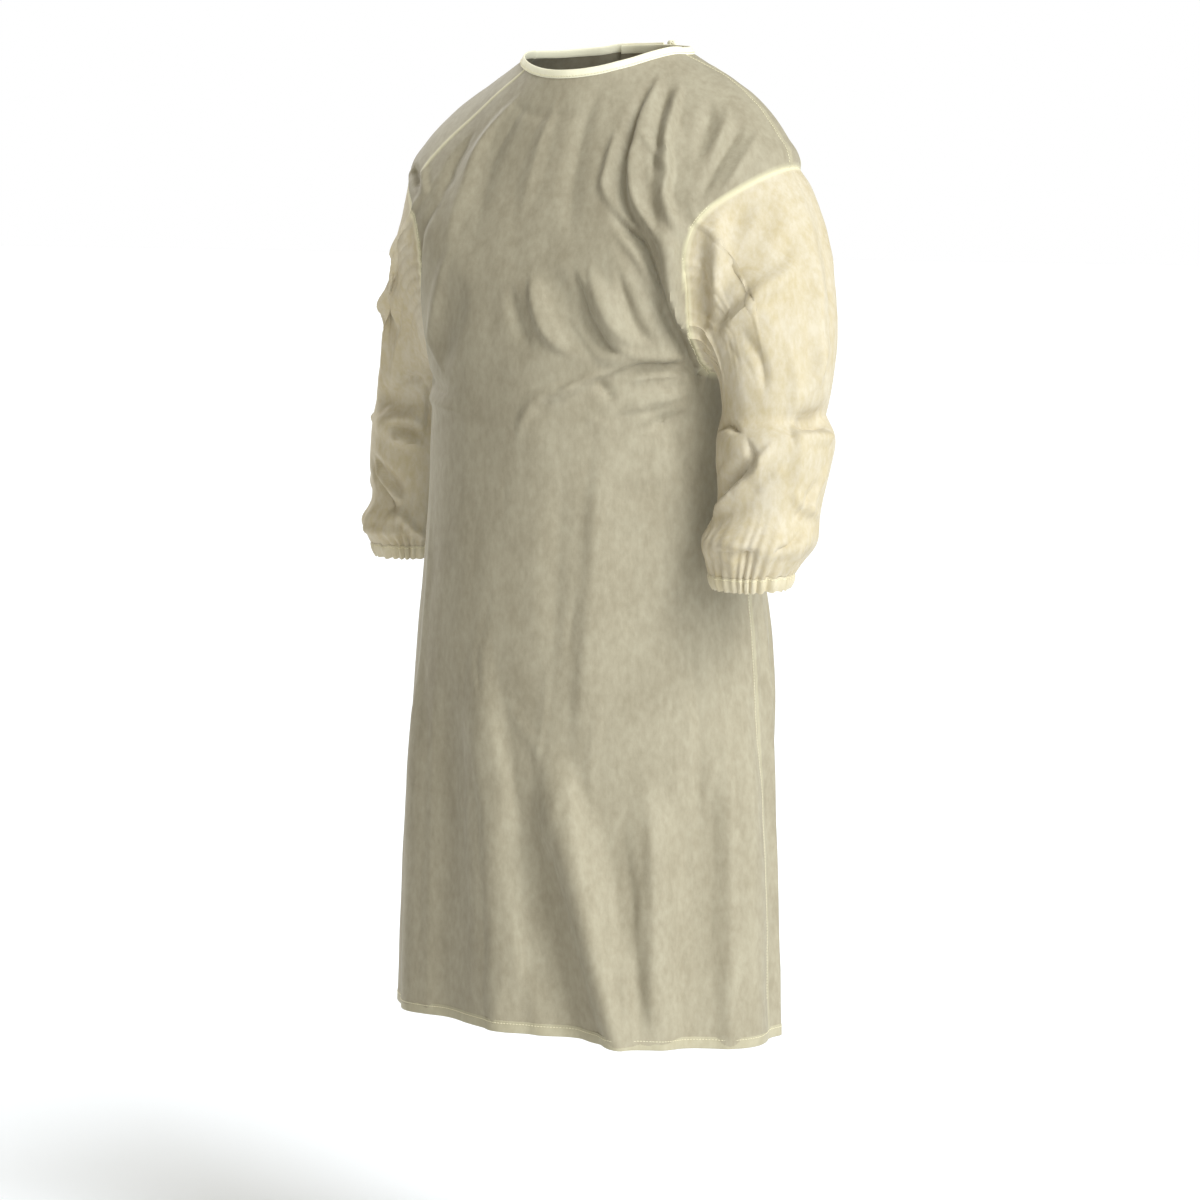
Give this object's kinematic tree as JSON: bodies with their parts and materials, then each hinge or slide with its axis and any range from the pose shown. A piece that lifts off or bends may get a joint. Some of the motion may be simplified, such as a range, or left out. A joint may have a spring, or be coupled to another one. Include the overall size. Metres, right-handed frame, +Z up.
{
  "type": "isolation gown",
  "caption": "Hollow long-sleeved isolation gown of thin non-woven cloth, below knee length, with gathered cuffs, a bound neckline, a lapped open back and ties at the neck and waist.",
  "frame": {"origin": "middle of the neck opening, level with the high points of the shoulders, where the wearer's shoulders carry the gown", "axes": "+Z up towards the neck, -Y to the front, +X to the gown's left sleeve"},
  "size_m": [0.6514, 0.3768, 1.1715],
  "materials": {
    "gown_cloth": "matt spunbond non-woven cloth, pale khaki yellow",
    "sleeve_cloth": "matt spunbond non-woven cloth, pale cream yellow",
    "binding_tape": "folded non-woven tape, pale cream"
  },
  "bodies": {
    "root": {"front_panel": "gown_cloth", "back_panel_left": "gown_cloth", "back_panel_right": "gown_cloth", "sleeve_left": "sleeve_cloth", "sleeve_right": "sleeve_cloth", "cuff_left": "sleeve_cloth", "cuff_right": "sleeve_cloth", "neck_binding": "binding_tape", "neck_knot": "binding_tape", "neck_tail_left": "binding_tape", "neck_tail_right": "binding_tape", "waist_tie_left": "binding_tape", "waist_tie_right": "binding_tape", "waist_knot": "binding_tape", "waist_tail_left": "binding_tape", "waist_tail_right": "binding_tape"}
  },
  "joints": []
}
